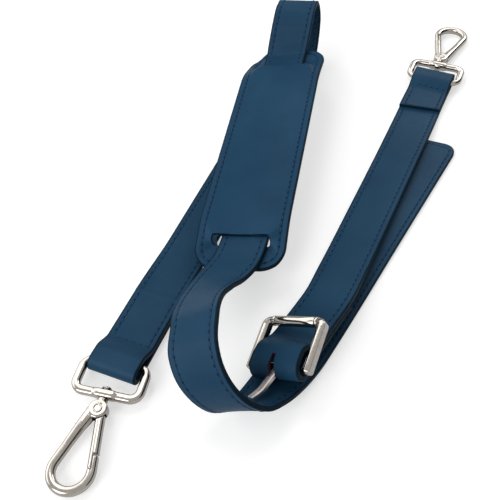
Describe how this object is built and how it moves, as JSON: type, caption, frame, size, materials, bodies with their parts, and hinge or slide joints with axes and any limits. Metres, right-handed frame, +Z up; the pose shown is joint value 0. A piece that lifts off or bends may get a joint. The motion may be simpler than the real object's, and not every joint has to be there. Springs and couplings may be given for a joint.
{
  "type": "shoulder strap",
  "caption": "Two-layer leather shoulder strap with a sliding shoulder pad, a swivel snap hook at each end and an open roller buckle.",
  "frame": {"origin": "middle of the underside of the part's box as it lies on a table", "axes": "+Z up from the table, +Y from the lower loop and first hook to the upper loop and second hook, +X to the holed end's side"},
  "size_m": [0.2553, 0.3186, 0.0454],
  "materials": {
    "strap_leather": "smooth semi-matt",
    "pad_leather": "smooth semi-matt",
    "lining_leather": "matt",
    "foam": "matt",
    "bright_metal": "polished",
    "spring_steel": "bright wire"
  },
  "bodies": {
    "long_strap": {"long_strap_face": "strap_leather", "long_strap_back": "strap_leather"},
    "pad": {"pad_face": "pad_leather", "pad_foam": "foam", "pad_lining": "lining_leather"},
    "eye_a": {"eye_a": "bright_metal"},
    "hook_a": {"hook_a": "bright_metal", "swivel_post_a": "bright_metal", "gate_rivet_a": "bright_metal", "gate_spring_a": "spring_steel"},
    "gate_a": {"gate_a": "bright_metal"},
    "short_strap": {"short_strap_face": "strap_leather", "short_strap_back": "strap_leather"},
    "eye_b": {"eye_b": "bright_metal"},
    "hook_b": {"hook_b": "bright_metal", "swivel_post_b": "bright_metal", "gate_rivet_b": "bright_metal", "gate_spring_b": "spring_steel"},
    "gate_b": {"gate_b": "bright_metal"},
    "buckle_frame": {"buckle_frame": "bright_metal", "buckle_heel_pin": "bright_metal"},
    "buckle_prong": {"buckle_prong": "bright_metal"},
    "buckle_roller": {"buckle_roller": "bright_metal"}
  },
  "joints": [
    {"name": "pad_slide", "type": "slide", "parent": "long_strap", "child": "pad", "axis": [0.2416, 0.9691, 0.0489], "range_m": [-0.01, 0.004]},
    {"name": "eye_a_swing", "type": "hinge", "parent": "long_strap", "child": "eye_a", "pos_m": [-0.0999, -0.09764, 0.0046], "axis": [0.9563, -0.2924, 0], "range_deg": [-100, 100]},
    {"name": "hook_a_swivel", "type": "hinge", "parent": "eye_a", "child": "hook_a", "pos_m": [-0.10475, -0.11351, 0.00414], "axis": [-0.2923, -0.9559, -0.0279], "continuous": true},
    {"name": "gate_a_swing", "type": "hinge", "parent": "hook_a", "child": "gate_a", "pos_m": [-0.10709, -0.12116, 0.00391], "axis": [0.0082, 0.0267, -0.9996], "range_deg": [0, 20], "stiffness_Nm_per_rad": 0.05, "springref_deg": -17.19},
    {"name": "short_strap_lift", "type": "slide", "parent": "long_strap", "child": "short_strap", "axis": [0, 0, 1], "range_m": [0, 0.1]},
    {"name": "eye_b_swing", "type": "hinge", "parent": "short_strap", "child": "eye_b", "pos_m": [0.09278, 0.1002, 0.0046], "axis": [-0.9063, 0.4226, 0], "range_deg": [-100, 100]},
    {"name": "hook_b_swivel", "type": "hinge", "parent": "eye_b", "child": "hook_b", "pos_m": [0.09979, 0.11524, 0.00414], "axis": [0.4225, 0.906, -0.0279], "continuous": true},
    {"name": "gate_b_swing", "type": "hinge", "parent": "hook_b", "child": "gate_b", "pos_m": [0.10317, 0.12249, 0.00391], "axis": [-0.0118, -0.0253, -0.9996], "range_deg": [0, 20], "stiffness_Nm_per_rad": 0.05, "springref_deg": -17.19},
    {"name": "buckle_frame_swing", "type": "hinge", "parent": "short_strap", "child": "buckle_frame", "pos_m": [-0.0245, -0.1108, 0.0139], "axis": [0.7558, -0.4316, 0.4924], "range_deg": [0, 80]},
    {"name": "buckle_prong_swing", "type": "hinge", "parent": "short_strap", "child": "buckle_prong", "pos_m": [-0.0245, -0.1108, 0.0139], "axis": [-0.7558, 0.4316, -0.4924], "range_deg": [0, 60]},
    {"name": "buckle_roller_turn", "type": "hinge", "parent": "buckle_frame", "child": "buckle_roller", "pos_m": [-0.01514, -0.09019, 0.01799], "axis": [-0.7558, 0.4316, -0.4924], "continuous": true}
  ]
}
